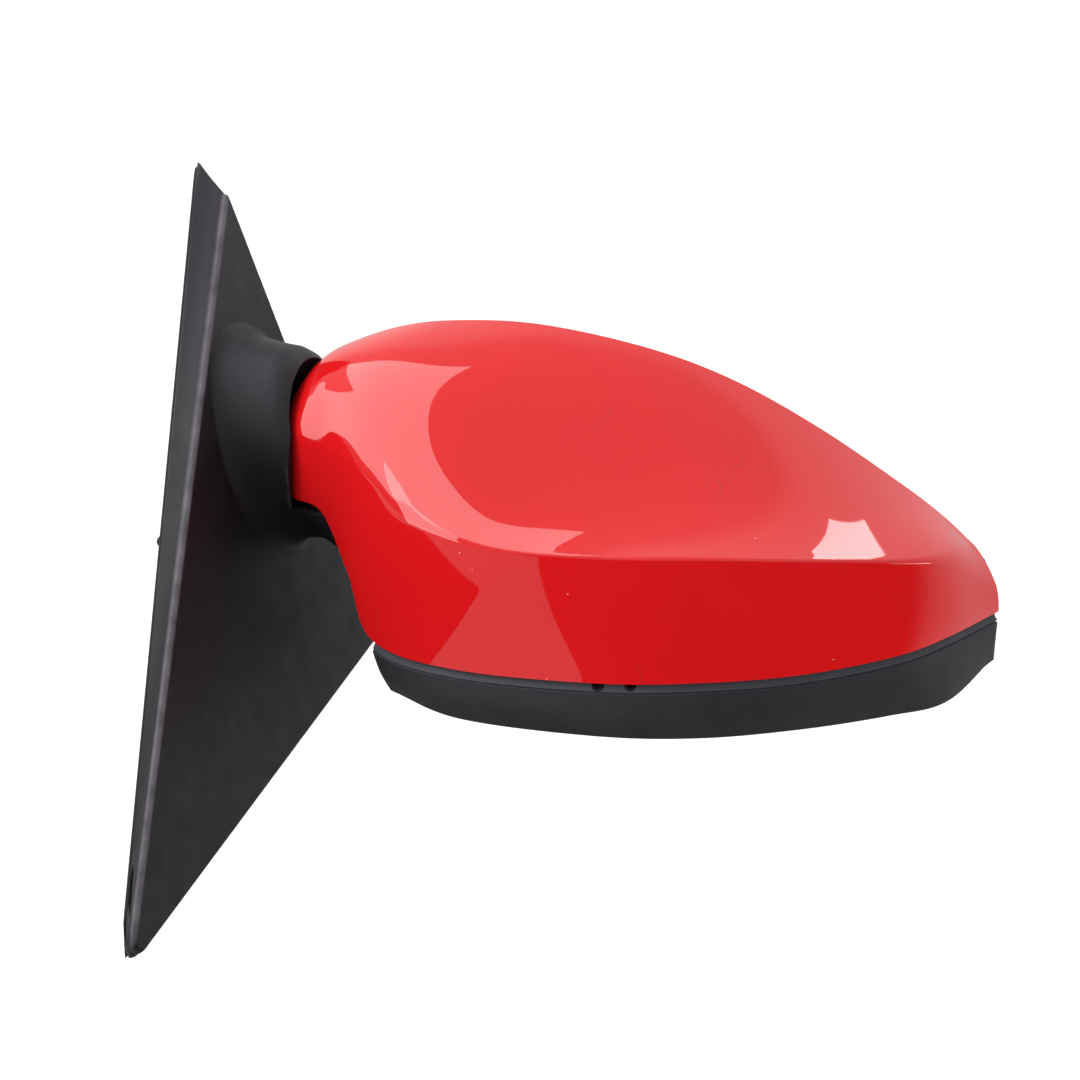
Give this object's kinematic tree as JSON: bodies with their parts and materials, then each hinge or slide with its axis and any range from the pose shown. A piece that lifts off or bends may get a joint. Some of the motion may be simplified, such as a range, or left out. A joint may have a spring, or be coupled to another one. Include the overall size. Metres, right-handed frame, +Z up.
{
  "type": "car door mirror",
  "caption": "Left-hand car door mirror: painted cap over a black housing on a folding neck, with a triangular sail base and powered glass behind the bezel.",
  "frame": {"origin": "on the bracket's flat face against the door, where the neck's centre line meets it", "axes": "+X away from the car, +Y to the rear of the car (the glass faces it, turned 10 degrees inwards), +Z up; the door face leans in by 20 degrees"},
  "size_m": [0.2931, 0.2404, 0.1806],
  "materials": {
    "red_paint": "bright red body paint under gloss lacquer on a moulded cap",
    "trim_plastic": "charcoal moulded plastic, fine grain",
    "black_plastic": "black grained plastic",
    "rubber": "soft matt rubber",
    "cast_aluminium": "as cast",
    "steel": "zinc plated",
    "nylon": "natural nylon",
    "heater_foil": "printed film",
    "mirror_silver": "silvered glass"
  },
  "bodies": {
    "base": {"sail_cover": "black_plastic", "door_gasket": "rubber", "base_bracket": "cast_aluminium", "cover_screw_1": "steel", "cover_screw_2": "steel", "wire_grommet": "rubber", "locating_peg": "black_plastic", "pivot_tube": "steel", "detent_ring": "steel", "spring_cap": "steel", "circlip": "steel", "fold_spring": "steel"},
    "head": {"mirror_cap": "red_paint", "lower_housing": "trim_plastic", "pivot_shroud": "trim_plastic", "rear_bezel": "black_plastic", "head_frame": "cast_aluminium", "actuator_front": "black_plastic", "actuator_rear": "black_plastic", "actuator_screw_1": "steel", "actuator_screw_2": "steel", "actuator_screw_3": "steel", "housing_screw_1": "steel", "housing_screw_2": "steel", "housing_screw_3": "steel", "wiring_socket": "black_plastic", "pan_motor": "steel", "tilt_motor": "steel", "pan_pin_upper": "steel", "pan_pin_lower": "steel"},
    "gimbal": {"gimbal_ring": "nylon", "tilt_pin_inner": "steel", "tilt_pin_outer": "steel"},
    "glass": {"glass_carrier": "black_plastic", "heater_pad": "heater_foil", "mirror_glass": "mirror_silver"},
    "pan_pusher": {"pan_plunger": "nylon"},
    "tilt_pusher": {"tilt_plunger": "nylon"},
    "pan_wheel": {"pan_drive_gear": "nylon"},
    "tilt_wheel": {"tilt_drive_gear": "nylon"},
    "pan_screw": {"pan_worm": "steel"},
    "tilt_screw": {"tilt_worm": "steel"}
  },
  "joints": [
    {"name": "head_fold", "type": "hinge", "parent": "base", "child": "head", "pos_m": [0.0525, 0, 0], "axis": [0, 0, 1], "range_deg": [-25, 60]},
    {"name": "glass_pan", "type": "hinge", "parent": "head", "child": "gimbal", "pos_m": [0.16575, 0.01997, -0.025], "axis": [0, 0, 1], "range_deg": [-7, 7]},
    {"name": "glass_tilt", "type": "hinge", "parent": "gimbal", "child": "glass", "pos_m": [0.16575, 0.01997, -0.025], "axis": [0.9848, 0.1736, 0], "range_deg": [-7, 7]},
    {"name": "pan_push", "type": "slide", "parent": "head", "child": "pan_pusher", "axis": [-0.1736, 0.9848, 0], "range_m": [-0.0036, 0.0036]},
    {"name": "tilt_push", "type": "slide", "parent": "head", "child": "tilt_pusher", "axis": [-0.1736, 0.9848, 0], "range_m": [-0.0036, 0.0036]},
    {"name": "pan_wheel_turn", "type": "hinge", "parent": "head", "child": "pan_wheel", "pos_m": [0.19333, 0.02483, -0.025], "axis": [-0.1736, 0.9848, 0], "range_deg": [-160, 160]},
    {"name": "tilt_wheel_turn", "type": "hinge", "parent": "head", "child": "tilt_wheel", "pos_m": [0.16575, 0.01997, -0.053], "axis": [-0.1736, 0.9848, 0], "range_deg": [-160, 160]},
    {"name": "pan_worm_turn", "type": "hinge", "parent": "head", "child": "pan_screw", "pos_m": [0.18353, 0.00381, -0.025], "axis": [0, 0, 1], "range_deg": [-3200, 3200]},
    {"name": "tilt_worm_turn", "type": "hinge", "parent": "head", "child": "tilt_screw", "pos_m": [0.16905, 0.00126, -0.0397], "axis": [0.9848, 0.1736, 0], "range_deg": [-3200, 3200]}
  ],
  "couplings": [
    {"joint": "pan_push", "follows": "glass_pan", "m_per_rad": 0.028},
    {"joint": "tilt_push", "follows": "glass_tilt", "m_per_rad": 0.028},
    {"joint": "pan_wheel_turn", "follows": "glass_pan", "ratio": 22},
    {"joint": "tilt_wheel_turn", "follows": "glass_tilt", "ratio": 22},
    {"joint": "pan_worm_turn", "follows": "glass_pan", "ratio": 440},
    {"joint": "tilt_worm_turn", "follows": "glass_tilt", "ratio": 440}
  ]
}
